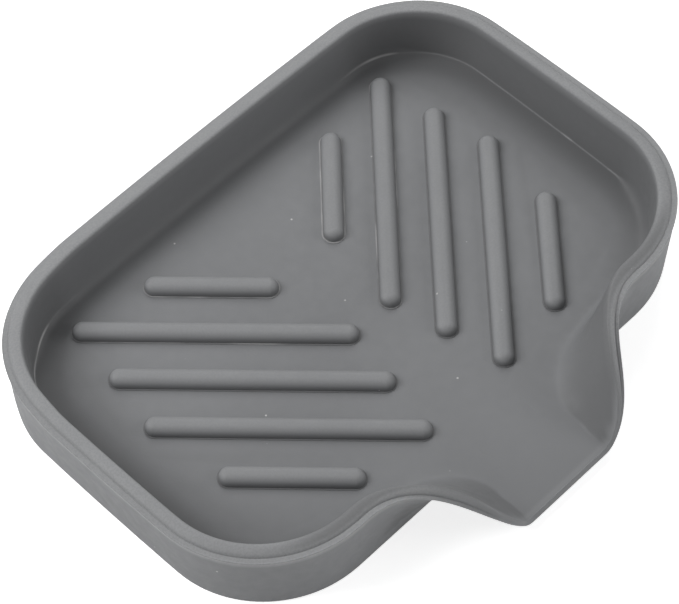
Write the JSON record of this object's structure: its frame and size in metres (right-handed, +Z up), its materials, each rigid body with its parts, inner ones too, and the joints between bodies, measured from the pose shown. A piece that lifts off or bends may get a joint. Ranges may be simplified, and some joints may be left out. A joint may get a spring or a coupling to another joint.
{
  "type": "soap dish",
  "caption": "Shallow rounded rectangular soap dish moulded in grey silicone, with a sloping ribbed floor that drains to a spout at the front.",
  "frame": {"origin": "centre of the overall length and depth, spout included, on the plane that the foot ring stands on", "axes": "+X along the dish's long way, -Y towards the drain spout, +Z up"},
  "size_m": [0.13, 0.1046, 0.0188],
  "materials": {
    "silicone_grey": "matt moulded silicone, mid grey with a soft sheen"
  },
  "bodies": {
    "root": {"dish": "silicone_grey"}
  },
  "joints": []
}
